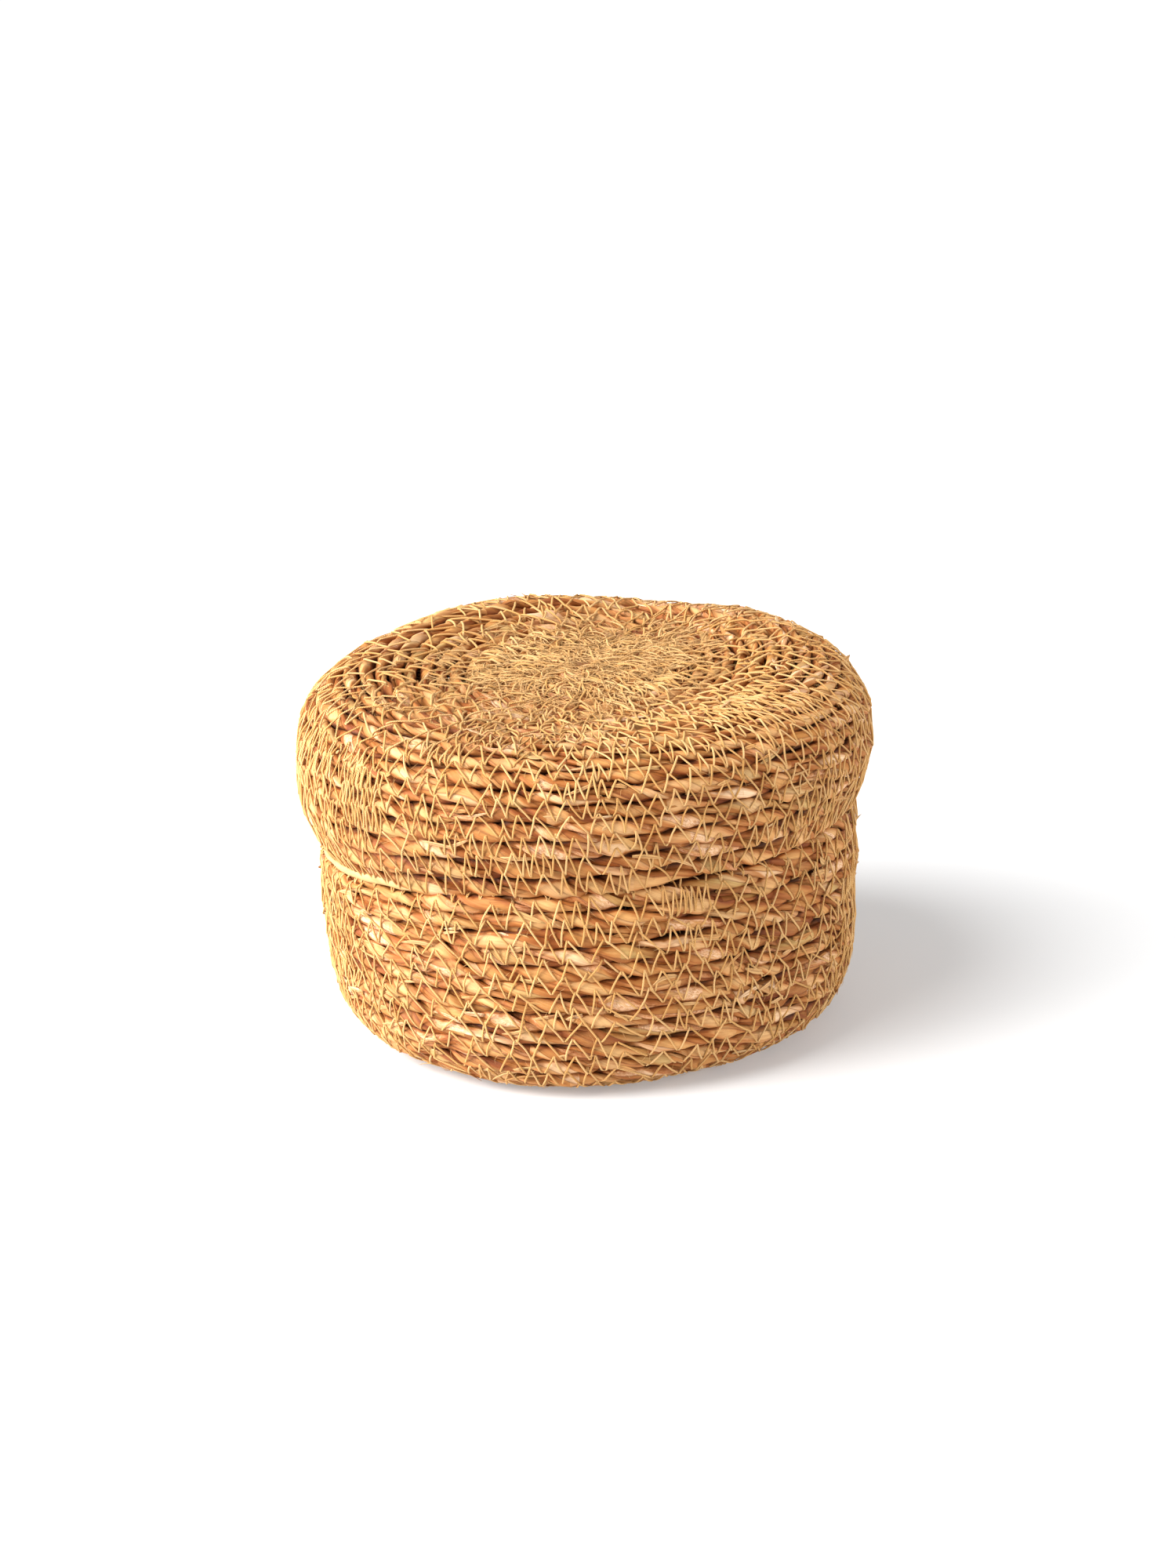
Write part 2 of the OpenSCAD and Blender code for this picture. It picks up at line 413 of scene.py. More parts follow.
class Tubes:
    """Gathers closed tubes and makes one mesh of them. The UV map 'lay' holds the distance along a
    tube and the turn round it; the map 'OFBake' lays the tubes out in strips."""

    def __init__(self):
        self.points, self.quads, self.caps = [], [], []
        self.lay, self.cell, self.dark, self.tint = [], [], [], []
        self.count, self.cells = 0, 0

    def add(self, points, along, around, dark, tint, per_strip):
        """points is tubes x rings x sides x 3, along is tubes x rings, around is tubes x rings x
        (sides + 1), dark is 0 or tubes x rings x sides, and tint is one number per tube. per_strip
        is how many rings make one strip of the bake's layout."""

        def corners(g):
            return np.stack([g[:, :-1, :-1], g[:, :-1, 1:], g[:, 1:, 1:], g[:, 1:, :-1]], -1)

        tubes, rings, sides = points.shape[:3]
        index = self.count + np.arange(tubes * rings * sides).reshape(tubes, rings, sides)
        self.points.append(points.reshape(-1, 3))
        # dark is how much painted shade a point gets; on the cord's strands partly their browner
        # edges too
        self.dark.append(np.broadcast_to(dark, points.shape[:3]).reshape(-1))
        self.tint.append(np.repeat(tint, rings * sides))
        nxt = np.roll(index, -1, 2)
        quad = np.stack([index[:, :-1], nxt[:, :-1], nxt[:, 1:], index[:, 1:]], -1)
        self.quads.append(quad.reshape(-1, 4))
        along = np.broadcast_to(along[:, :, None], (tubes, rings, sides + 1))
        self.lay.append(np.stack([corners(along), corners(around)], -1).reshape(-1, 4, 2))
        ring = np.arange(rings - 1)
        strip = ring // per_strip
        x0 = (ring - strip * per_strip) / per_strip
        strips = int(strip[-1]) + 1
        cell = self.cells + np.arange(tubes)[:, None] * strips + strip[None]
        cell, x0, y0 = np.broadcast_arrays(cell[:, :, None], x0[:, None], np.arange(sides) / sides)
        box = np.stack([cell, x0, x0 + 1 / per_strip, y0, y0 + 1 / sides], -1)
        self.cell.append(box.reshape(-1, 5))
        self.cells += tubes * strips
        self.caps.append((index[:, 0, ::-1].reshape(-1, sides), index[:, -1].reshape(-1, sides)))
        self.count += tubes * rings * sides

    def cell_grid(self, shape):
        """Turns each quad's cell number into UVs. shape is a cell's width over its height."""
        cell = np.concatenate(self.cell)
        columns = max(1, int(round(math.sqrt(self.cells / shape))))
        rows = math.ceil(self.cells / columns)
        cx, cy = cell[:, 0] % columns, cell[:, 0] // columns
        u0, u1 = [(cx + CELL_GAP / 2 + (1 - CELL_GAP) * cell[:, i]) / columns for i in (1, 2)]
        v0, v1 = [(cy + CELL_GAP / 2 + (1 - CELL_GAP) * cell[:, i]) / rows for i in (3, 4)]
        return np.stack([np.stack([u0, v0], -1), np.stack([u0, v1], -1),
                         np.stack([u1, v1], -1), np.stack([u1, v0], -1)], 1)

    def make(self, name, material, shape):
        """One mesh of all the tubes, warped and scaled to metres."""
        points = warp(np.concatenate(self.points)) * MM
        quads = np.concatenate(self.quads)
        caps = [ring for pair in self.caps for side in pair for ring in side]
        lengths = np.array([4] * len(quads) + [len(c) for c in caps])
        corners = np.concatenate([quads.ravel()] + caps)
        starts = np.concatenate([[0], np.cumsum(lengths)[:-1]])
        mesh = bpy.data.meshes.new(name)
        mesh.vertices.add(len(points))
        mesh.vertices.foreach_set("co", points.astype(np.float32).ravel())
        mesh.loops.add(len(corners))
        mesh.loops.foreach_set("vertex_index", corners.astype(np.int32))
        mesh.polygons.add(len(lengths))
        mesh.polygons.foreach_set("loop_start", starts.astype(np.int32))
        for label, layout in (("lay", np.concatenate(self.lay)), ("OFBake", self.cell_grid(shape))):
            uv = np.zeros((len(corners), 2), np.float32)
            uv[:len(quads) * 4] = layout.reshape(-1, 2)
            mesh.uv_layers.new(name=label).uv.foreach_set("vector", uv.ravel())
        mesh.uv_layers.active = mesh.uv_layers["lay"]
        for label, values in (("dark", self.dark), ("tint", self.tint)):
            layer = mesh.attributes.new(label, "FLOAT", "POINT")
            layer.data.foreach_set("value", np.concatenate(values).astype(np.float32))
        mesh.update(calc_edges=True)
        mesh.shade_smooth()
        mesh.materials.append(material)
        return link(name, mesh)


# -------- the cord's two strands

BLADES = 3              # leaves that show round one strand
CREASE_DEEP = 0.10      # how deep the crease between two leaves is, as a share of the thickness
CREASE_WIDE = 0.30      # its half width, in radians round the strand
BLADE_LAY = 140.0       # the leaves turn once round their strand in this length
CORD_STRIP = 110        # rings of cord to one strip of the bake's layout


def add_cord(tubes, cord, u0, u1, step, sides):
    """Both strands of a stretch of cord, as closed tubes."""
    s = np.linspace(cord.s(u0), cord.s(u1), int((cord.s(u1) - cord.s(u0)) / step) + 1)
    u = cord.u(s)
    angle = cord.angle(u)
    at, out, climb = cord.axes(u)
    psi = np.arange(sides) / sides * TAU
    cos, sin = np.cos(psi), np.sin(psi)
    cos = np.sign(cos) * np.abs(cos) ** SQUARENESS * np.where(cos < 0, STRAND_INSIDE, 1.0)
    sin = np.sign(sin) * np.abs(sin) ** SQUARENESS
    for j in (0, 1):
        turn, reach, thick, wide = cord.strand(u, j)
        first = (TAU * s / BLADE_LAY + 0.9 * ripple(s, cord.seed + 20 + j, 40, 120)) * cord.way
        off = (psi[None] - first[:, None]) * BLADES / TAU
        leaf = np.floor(off)
        off = np.abs(off - np.round(off)) * TAU / BLADES
        deep = CREASE_DEEP * (0.7 + 0.5 * ripple(s, cord.seed + 30 + j, 20, 70))
        crease = 1 - np.clip(deep, 0, 0.2)[:, None] * bell(off, CREASE_WIDE)
        bump = 1 + 0.035 * np.sin(leaf * 2.3 + s[:, None] / 9.0) * np.cos(s[:, None] / 5.3 + leaf)
        x = reach[:, None] + thick[:, None] * cos * crease * bump
        y = wide[:, None] * sin * crease * bump
        c, n = np.cos(turn)[:, None], np.sin(turn)[:, None]
        away, side = c * x - n * y, (n * x + c * y) * cord.squeeze(u)[:, None]
        flat = at[:, None] + out[:, None] * away[..., None] + climb[:, None] * side[..., None]
        # painted shade, darkest where the strands meet, between two turns and deep inside
        # the cord, but not on the free side of the last turn; rim darkens a strand's sides,
        # partly painted shade and partly the leaves' browner edges
        rim = 0.50 * smooth((np.abs(sin) - 0.35) / 0.6)[None] * smooth(1.6 - np.abs(y) / 3)
        free_edge = smooth((u - cord.last + 1.05) / 0.1)[:, None] * smooth(side / 0.6)
        side = np.abs(side)
        hidden = smooth((side - 1.1) / 1.5) * smooth((2.3 - away) / 1.6) * (1 - free_edge)
        inside = smooth(1.0 - np.hypot(away, side) / 2.4)
        dark = np.maximum(np.maximum(hidden, inside), rim)
        around = (np.arange(sides + 1) / sides)[None] - (first / TAU)[:, None] + 8 * j + cord.seed
        tubes.add(lathe(flat, angle[:, None])[None], s[None], around[None], dark[None],
                  np.array([float(j)]), CORD_STRIP)


# -------- the thread

THREAD_R = 0.34
NEEDLE_DEEP = 1.2       # how deep a leg's two ends go into the cord
LOWEST = 0.3            # a leg stays this far above the line between two turns' middles
PACE_SPREAD = (0.45, 1.55)      # how uneven the legs' steps are
PACE_V = (0.78, 1.22)           # the steps of a V's two legs, as shares of the mean
# The side of the basket that a leg lies on, outside (1) or inside (-1), its number of sides, and
# where along it its rings are
ALONG_LEG = np.array([0, 0.07, 0.18, 0.34, 0.5, 0.66, 0.82, 0.93, 1.0])
OUTSIDE, OUTSIDE_HIDDEN = (1, 5, ALONG_LEG), (1, 4, ALONG_LEG)
INSIDE = (-1, 3, np.array([0, 0.12, 0.35, 0.65, 0.88, 1.0]))


def height_over(cord, u, origin, chord, up, side, x):
    """How high the cord's surface stands over the chord at x, for the turn at u."""
    at = cord.axes(u)[0] - origin
    x = (x - (at * chord).sum(-1)) / cord.squeeze(u)
    best = np.full(x.shape, -9.0)
    for j in (0, 1):
        turn, reach, thick, wide = cord.strand(u, j)
        c, s = np.cos(turn) * side, np.sin(turn)
        d = x - reach * s
        a = c**2 / thick**2 + s**2 / wide**2
        b = s * c * (1 / thick**2 - 1 / wide**2)
        k = s**2 / thick**2 + c**2 / wide**2
        root = a - d**2 * (a * k - b * b)
        top = reach * c + (-b * d + np.sqrt(np.abs(root))) / a
        best = np.maximum(best, np.where(root > 0, top, -9.0))
    return best + (at * up).sum(-1)


def add_legs(tubes, cord, legs, face, thread_r):
    """Legs of thread, each from one needle hole to the next, drawn tight over the turn at u and
    the next one. x is the distance across the turns, from the first one's middle, and a leg's
    middle strays by bow along the turns and by slack off them."""
    u_from, u_to, x_from, x_to, bow, tint, slack = legs
    side, sides, along = face
    t = along[None]
    u = mix(u_from[:, None], u_to[:, None], t)
    x = mix(x_from[:, None], x_to[:, None], t)
    u = u + bow[:, None] * np.sin(math.pi * t) / (TAU * np.maximum(cord.line(u)[0][..., 0], 4))
    p0, p1 = cord.axes(u)[0], cord.axes(u + 1)[0]
    chord = unit(p1 - p0)
    up = side * cord.outside * left_of(chord)
    ground = np.maximum(height_over(cord, u, p0, chord, up, side, x),
                        height_over(cord, u + 1, p0, chord, up, side, x))
    ground = np.maximum(ground, LOWEST)
    # a tight thread: wherever it would sag between two rings, it is pulled straight
    high = ground.copy()
    for _ in range(14):
        w = (t[:, 1:-1] - t[:, :-2]) / (t[:, 2:] - t[:, :-2])
        high[:, 1:-1] = np.maximum(ground[:, 1:-1], mix(high[:, :-2], high[:, 2:], w))
    high += 0.5 * thread_r + slack[:, None] * np.sin(math.pi * t)
    high[:, [0, -1]] -= NEEDLE_DEEP
    flat = p0 + chord * x[..., None] + up * high[..., None]
    line, normal = lathe_both(flat, up, cord.angle(u))
    tube = sweep(line, normal, thread_r, sides)
    length = np.concatenate([np.zeros((len(u), 1)),
                             np.cumsum(np.linalg.norm(np.diff(line, axis=1), axis=-1), 1)], 1)
    dark = np.zeros(tube.shape[:3])
    # painted shade at both ends of a leg, where it goes into the cord
    dark[:, [0, -1]] = 1.0
    tubes.add(tube, length, round_it(sides, length.shape), dark, tint, len(along) - 1)


def sweep(line, normal, thick, sides, wide=None):
    """Tubes round polylines: tubes x rings x sides x 3. thick is the half size along the normal
    and wide the one across it, the same if not given; each is a number or tubes x rings."""
    tangent = unit(np.gradient(line, axis=1))
    across = unit(np.cross(tangent, normal))
    normal = np.cross(across, tangent)
    a = np.arange(sides) / sides * TAU
    thick = np.broadcast_to(thick, line.shape[:2])[:, :, None, None]
    wide = thick if wide is None else np.broadcast_to(wide, line.shape[:2])[:, :, None, None]
    return (line[:, :, None] + thick * np.cos(a)[:, None] * normal[:, :, None]
            + wide * np.sin(a)[:, None] * across[:, :, None])


def zigzag(cord, u0, u1, half_step, seed, holes, crowded, slack):
    """The needle's holes along a stretch of spiral: where each leg starts and ends. holes says how
    far past the middles of the two turns they are, crowded is a list like BASE_CROWDS, and slack
    is how far a leg may stand off."""
    draw = np.random.default_rng(seed)
    s, end = cord.s(u0), cord.s(u1)
    stops = [s]
    while s < end:
        pace = half_step * (1 + 0.22 * float(ripple(np.array(s), seed + 1, 25, 120)))
        u = float(cord.u(s))
        for place, first, last, width, factor in crowded:
            off = (float(cord.angle(u)) - place + math.pi) % TAU - math.pi
            if first <= u <= last and abs(off) < width:
                pace *= factor
        s += max(0.7, pace * draw.uniform(*PACE_SPREAD) * PACE_V[0 if len(stops) % 2 else 1])
        stops.append(s)
    stops = np.array(stops)
    u = cord.u(stops)
    down = np.arange(len(u) - 1) % 2 == 0
    gap = np.linalg.norm(cord.axes(u[:-1] + 1)[0] - cord.axes(u[:-1])[0], axis=-1)
    stray = 0.5 + 0.6 * slack
    low = draw.normal(holes[0], stray, len(u))
    over = draw.normal(holes[1], stray, len(u))
    x_from = np.where(down, low[:-1], gap + over[:-1])
    x_to = np.where(down, gap + over[1:], low[1:])
    bow = draw.normal(0, 0.24 + 0.5 * slack, len(down))
    tint = draw.uniform(0, 1, len(down))
    return u[:-1], u[1:], x_from, x_to, bow, tint, slack * draw.uniform(0, 1, len(down))


# -------- loose fibres and leaf ends

def lie_on(cord, u, angle, bearing, length, curl, lift, rings):
    """Short curves over a body's outside. Each goes through the place (u, angle), at a bearing
    from the turns' direction, and bends by curl; lift is tubes x rings, above the cord."""
    t = np.linspace(-0.5, 0.5, rings)[None]
    going = bearing[:, None] + curl[:, None] * t
    step = length[:, None] / (rings - 1)
    middle = rings // 2

    def run(rate):
        total = np.cumsum(rate, 1)
        return total - total[:, middle:middle + 1]

    u = u[:, None] + run(step * np.sin(going) / PITCH)
    u = np.clip(u, 0.0, cord.last - 0.6)
    at, climb = cord.line(u)
    out = cord.outside * left_of(unit(climb))
    angle = angle[:, None] + run(step * np.cos(going) / np.maximum(at[..., 0], 3))
    return lathe_both(at + out * (CORD_R + lift)[..., None], out, angle)


def add_fibres(tubes, cord, count, seed, u_range, length, radius, lift, sides, rings, leave):
    """Loose ends of thread: short curved hairs in all directions. u_range is the first turn, the
    last and a power, which spreads them evenly over the turns at 1 and over a disc at 1 / 2. leave
    is how far an end may stand off."""
    draw = np.random.default_rng(seed)
    u = draw.uniform(0, 1, count) ** u_range[2] * (u_range[1] - u_range[0]) + u_range[0]
    angle = draw.uniform(0, TAU, count)
    bearing = draw.uniform(0, TAU, count)
    long = draw.uniform(*length, count)
    curl = draw.normal(0, 0.8, count)
    t = np.linspace(-1, 1, rings)[None]
    high = (draw.uniform(*lift, count)[:, None] - 0.9 * t**2
            + draw.uniform(0, leave, count)[:, None] * np.maximum(t, 0) ** 2)
    line, normal = lie_on(cord, u, angle, bearing, long, curl, high, rings)
    thin = radius * (1 - 0.55 * np.abs(t) ** 3)
    tube = sweep(line, normal, thin, sides)
    along = np.broadcast_to((t + 1) * 4, line.shape[:2])
    tint = draw.uniform(0.4, 1, count)
    tubes.add(tube, along, round_it(sides, along.shape), 0.0, tint, rings - 1)


FLAKE_RINGS = FLAKE_SIDES = 6


def add_flakes(tubes, cord, count, seed, u_range, stubs):
    """Ends and splinters of leaf that stick out of the cord a little. stubs are the ones that
    stand out: turn, angle, bearing, length and how far the end stands off."""
    draw = np.random.default_rng(seed)
    u = np.round(draw.uniform(*u_range, count)) + draw.normal(0, 0.18, count)
    angle = draw.uniform(0, TAU, count)
    bearing = draw.normal(0, 0.22, count) + math.pi * draw.integers(0, 2, count)
    long = draw.uniform(4, 12, count)
    stand = draw.uniform(0, 1, count) ** 3 * 2.2
    for i, stub in enumerate(stubs):
        u[i], angle[i], bearing[i], long[i], stand[i] = stub
    t = np.linspace(0, 1, FLAKE_RINGS)[None]
    high = -0.35 + stand[:, None] * t**2 + 0.25 * t
    curl = draw.normal(0, 0.4, count)
    line, normal = lie_on(cord, u, angle, bearing, long, curl, high, FLAKE_RINGS)
    taper = np.sin(math.pi * np.clip(0.12 + 0.86 * t, 0, 1)) ** 0.6
    wide = draw.uniform(0.5, 1.1, count)[:, None] * taper
    tube = sweep(line, normal, 0.16 * taper + 0.03, FLAKE_SIDES, wide)
    along = np.broadcast_to(t * 9, line.shape[:2]) + draw.uniform(0, 500, count)[:, None]
    blade = draw.integers(0, 9, count)[:, None, None]
    around = (round_it(FLAKE_SIDES, along.shape) + blade) / BLADES
    tubes.add(tube, along, around, 0.0, np.zeros(count), FLAKE_RINGS - 1)


LEAF_TURNS = 0.125      # length of the leaf that a cord ends in
LEAF_STEP, LEAF_SIDES = 1.5, 10


def add_leaf(tubes, cord, away, side, thick, wide):
    """The smooth leaf that the cord ends in, along its last turn. away and side say where it lies
    from the turn's middle, and thick and wide are its half sizes."""
    s0, s1 = cord.s(cord.last - LEAF_TURNS), cord.s(cord.last)
    s = np.linspace(s0, s1, int((s1 - s0) / LEAF_STEP))
    u = cord.u(s)
    t = (s - s[0]) / (s[-1] - s[0])
    at, out, climb = cord.axes(u)
    sway = 0.25 * ripple(s, cord.seed + 40, 18, 45)
    away = away - 0.5 * smooth((t - 0.85) / 0.15)
    flat = at + out * away[:, None] + climb * (side + sway)[:, None]
    line, normal = lathe_both(flat[None], out[None], cord.angle(u)[None])
    full = np.minimum(smooth(t / 0.2) * 0.6 + 0.4, smooth((1 - t) / 0.22) * 0.8 + 0.2)
    full = full * (1 + 0.10 * ripple(s, cord.seed + 41, 9, 30))
    tube = sweep(line, normal, (thick * full)[None], LEAF_SIDES, (wide * full)[None])
    turn = 0.35 * ripple(s, cord.seed + 42, 25, 60)
    around = round_it(LEAF_SIDES, s.shape) + turn[:, None]
    tubes.add(tube, s[None], around[None], 0.0, np.array([0.5]), CORD_STRIP)


# -------- materials

def srgb(red, green, blue):
    """A colour given as 0 to 255, as a linear colour."""
    def linear(c):
        c = c / 255
        return c / 12.92 if c <= 0.04045 else ((c + 0.055) / 1.055) ** 2.4
    return (linear(red), linear(green), linear(blue), 1.0)


class Nodes:
    """Short calls for a material's nodes. An input is a number, a colour or a node's socket."""

    def __init__(self, name):
        self.material = bpy.data.materials.new(name)
        self.material.use_nodes = True
        self.tree = self.material.node_tree
        self.shader = self.tree.nodes["Principled BSDF"]

    def lay(self):
        """Sets along and around: the distance along a tube, and the turn round it."""
        uv = self.add("ShaderNodeUVMap", {}, uv_map="lay").outputs[0]
        self.along, self.around = self.add("ShaderNodeSeparateXYZ", {0: uv}).outputs[:2]

    def add(self, kind, inputs, **settings):
        node = self.tree.nodes.new(kind)
        for key, value in settings.items():
            setattr(node, key, value)
        for key, value in inputs.items():
            self.plug(node.inputs[key], value)
        return node

    def plug(self, socket, value):
        if isinstance(value, bpy.types.NodeSocket):
            self.tree.links.new(value, socket)
        else:
            socket.default_value = value

    def math(self, operation, a, b=0.0):
        return self.add("ShaderNodeMath", {0: a, 1: b}, operation=operation).outputs[0]

    def times(self, a, b):
        return self.math("MULTIPLY", a, b)

    def ramp(self, value, stops):
        node = self.add("ShaderNodeValToRGB", {0: value})
        elements = node.color_ramp.elements
        while len(elements) < len(stops):
            elements.new(0.5)
        for element, (place, colour) in zip(elements, stops):
            element.position, element.color = place, colour
        return node.outputs[0]

    def grey(self, value, low, high, to_low=0.0, to_high=1.0):
        """The value, mapped from low and high to to_low and to_high, and held between them."""
        inputs = {0: value, 1: low, 2: high, 3: to_low, 4: to_high}
        return self.add("ShaderNodeMapRange", inputs, clamp=True).outputs[0]

    def blend(self, factor, a, b, mode="MIX"):
        node = self.tree.nodes.new("ShaderNodeMix")
        node.data_type, node.blend_type = "RGBA", mode
        self.plug(node.inputs[0], factor)
        self.plug(node.inputs[6], a)
        self.plug(node.inputs[7], b)
        return node.outputs[2]

    def vector(self, x, y, z):
        return self.add("ShaderNodeCombineXYZ", {0: x, 1: y, 2: z}).outputs[0]

    def grain(self, lengthwise, crosswise, third, detail, rough, distortion=0.0):
        """Noise over a tube's surface. Its first two numbers multiply the place on the tube."""
        along, around = self.times(self.along, lengthwise), self.times(self.around, crosswise)
        inputs = {"Vector": self.vector(along, around, third), "Scale": 1.0,
                  "Detail": detail, "Roughness": rough, "Distortion": distortion}
        return self.add("ShaderNodeTexNoise", inputs).outputs[0]

    def random(self, vector):
        """Three random numbers for each whole-numbered vector."""
        node = self.add("ShaderNodeTexWhiteNoise", {"Vector": vector}, noise_dimensions="3D")
        return self.add("ShaderNodeSeparateColor", {0: node.outputs["Color"]}).outputs

    def attribute(self, name):
        return self.add("ShaderNodeAttribute", {}, attribute_name=name).outputs["Fac"]

    def finish(self, colour, roughness, specular, height, strength, distance):
        """Plugs the shader's inputs. distance is the bump's depth, in metres."""
        self.plug(self.shader.inputs["Base Color"], colour)
        self.plug(self.shader.inputs["Roughness"], roughness)
        self.shader.inputs["Specular IOR Level"].default_value = specular
        inputs = {"Height": height, "Strength": strength, "Distance": distance}
        self.plug(self.shader.inputs["Normal"], self.add("ShaderNodeBump", inputs).outputs[0])
        return self.material


def seagrass():
    """Dry leaf: each blade its own colour, long fine streaks, and frayed pale patches."""
    n = Nodes("seagrass")
    n.lay()
    turns = n.times(n.around, float(BLADES))
    blade = n.math("FLOORED_MODULO", n.math("FLOOR", turns), float(BLADES))
    strand = n.attribute("tint")
    # each blade changes colour every 31 mm, at a place of its own
    shift = n.random(n.vector(blade, strand, 5.0))[0]
    stretch = n.math("ADD", n.math("DIVIDE", n.along, 31.0), n.times(shift, 7.0))
    piece = n.math("FLOOR", stretch)
    pick = n.random(n.vector(piece, blade, strand))
    tone = n.ramp(pick[0], [
        (0.00, srgb(148, 90, 40)), (0.19, srgb(188, 129, 66)), (0.38, srgb(210, 156, 92)),
        (0.55, srgb(224, 178, 122)), (0.74, srgb(210, 165, 104)), (0.84, srgb(190, 156, 94)),
        (0.93, srgb(230, 190, 142)), (1.00, srgb(242, 211, 172))])
    # lengthwise streaks, and broader brown and straw-coloured patches
    streak = n.grain(0.10, 30.0, n.times(piece, 3.7), 4.0, 0.65, 0.3)
    broad = n.grain(0.06, 4.0, strand, 3.0, 0.6)
    browner = n.blend(0.30, tone, srgb(150, 92, 46), "MULTIPLY")
    colour = n.blend(n.grey(streak, 0.36, 0.60), browner, tone)
    colour = n.blend(n.grey(broad, 0.56, 0.74, 0.0, 0.5), colour, srgb(172, 108, 58))
    colour = n.blend(n.grey(broad, 0.44, 0.26, 0.0, 0.22), colour, srgb(212, 184, 120))
    # a few blades are frayed
    fibre = n.grain(0.9, 24.0, piece, 5.0, 0.75, 0.8)
    frayed = n.times(n.grey(pick[1], 0.88, 0.91), n.grey(broad, 0.40, 0.50))
    pale = n.ramp(fibre, [(0.34, srgb(160, 98, 58)), (0.46, srgb(224, 172, 124)),
                          (0.64, srgb(246, 216, 184))])
    colour = n.blend(frayed, colour, pale)
    # painted shade in the creases between blades, then painted shade where cord meets cord,
    # which on the strands' sides is partly their browner edges
    crease = n.grey(n.math("ABSOLUTE", n.math("SUBTRACT", n.math("FRACT", turns), 0.5)), 0.43, 0.5)
    colour = n.blend(n.times(crease, 0.55), colour, srgb(120, 70, 34))
    deep = n.attribute("dark")
    shaded = n.blend(1.0, colour, srgb(214, 163, 104), "MULTIPLY")
    colour = n.blend(n.grey(deep, 0.0, 0.5), colour, shaded)
    colour = n.blend(n.grey(deep, 0.3, 1.0, 0.0, 0.92), colour, srgb(70, 34, 12))
    height = n.math("ADD", n.times(streak, 0.6), n.times(n.times(frayed, fibre), 1.6))
    height = n.math("SUBTRACT", height, n.times(crease, 0.5))
    return n.finish(colour, n.grey(streak, 0.3, 0.7, 0.72, 0.56), 0.3, height, 0.55, 0.0006)


def smooth_leaf():
    """The cord's last leaf: pale, a little olive, with fine lengthwise veins."""
    n = Nodes("seagrass_leaf")
    n.lay()
    veins = n.grain(0.05, 26.0, 0.0, 4.0, 0.6, 0.2)
    broad = n.grain(0.09, 2.0, 3.0, 2.0, 0.5)
    colour = n.ramp(broad, [(0.32, srgb(182, 146, 92)), (0.5, srgb(204, 166, 112)),
                            (0.68, srgb(210, 162, 108))])
    colour = n.blend(n.grey(veins, 0.5, 0.72, 0.0, 0.4), colour, srgb(176, 128, 72))
    return n.finish(colour, n.grey(veins, 0.3, 0.7, 0.5, 0.62), 0.4, veins, 0.35, 0.0004)


def cotton():
    """Golden sewing thread, three plies twisted, each leg a little lighter or darker."""
    n = Nodes("cotton_thread")
    n.lay()
    tint = n.attribute("tint")
    tone = n.ramp(tint, [(0.0, srgb(199, 146, 81)), (0.5, srgb(213, 163, 100)),
                         (1.0, srgb(224, 181, 124))])
    twist = n.math("ADD", n.times(n.along, 1.25), n.times(n.around, 3.0))
    ply = n.math("SINE", n.times(twist, TAU))
    # painted shade in the grooves between the plies
    colour = n.blend(n.grey(ply, -0.3, -1.0, 0.0, 0.45), tone, srgb(160, 106, 48))
    fleck = n.grain(1.4, 5.0, n.times(tint, 40.0), 3.0, 0.6)
    colour = n.blend(n.grey(fleck, 0.55, 0.75, 0.0, 0.4), colour, srgb(238, 202, 142))
    # painted shade at a leg's ends, where it goes into the cord
    colour = n.blend(n.times(n.attribute("dark"), 0.7), colour, srgb(120, 76, 36))
    for name, value in (("Sheen Weight", 0.25), ("Sheen Roughness", 0.6),
                        ("Sheen Tint", srgb(255, 226, 170))):
        n.plug(n.shader.inputs[name], value)
    return n.finish(colour, 0.82, 0.2, ply, 0.5, 0.0002)


# -------- the pieces

SEAGRASS, LEAF, COTTON = seagrass(), smooth_leaf(), cotton()
CORD_SHAPE = 14.0       # width over height of a strip of cord in the bake's layout
LEG_SHAPE = 1.6         # and of a leg of thread

# The length of a cord's rings and their number of sides
HIDDEN, SHOWN, LID_SHOWN = (2.4, 10), (1.9, 12), (1.8, 12)

# How far past the middles of the two turns the needle goes in
BASE_HOLES, TOP_ROW_HOLES = (-2.1, 0.5), (-2.1, 1.9)
LID_HOLES, LID_TOP_HOLES = (-0.5, 2.1), (-1.7, 2.5)

# Places where the stitches are closer together or further apart: angle, first turn, last turn,
# half width, and what the step from hole to hole is multiplied by
LID_CROWDS = [(3.9, 17.5, 20.5, 0.1, 0.3), (3.5, 14.5, 21, 0.22, 0.75),
              (5.6, 11.5, 16.5, 0.32, 0.62), (4.75, 12.5, 14.5, 0.18, 0.65),
              (1.2, 14, 18, 0.25, 0.5), (3.2, 5.5, 17, 0.9, 2),
              (0.05, 8, 17, 0.55, 1.45), (3.05, 17, 24, 0.45, 1.45)]
BASE_CROWDS = [(3.35, 13, 25, 0.28, 0.6), (5.05, 24, 25.5, 0.1, 0.4),
               (6, 15, 22, 0.22, 0.7), (0.9, 17, 22, 0.2, 0.5),
               (2.2, 14, 19, 0.25, 0.6)]

# The stubs of leaf that stand out: turn, angle, bearing, length and how far the end stands off
BASE_STUBS = [(25.4, 0.04, 1.9, 4.0, 2.0), (24.5, -0.03, 0.5, 5.0, 2.8),
              (21.6, 0.0, 0.3, 5.0, 2.4), (24.2, 3.20, 0.5, 4.0, 1.8)]

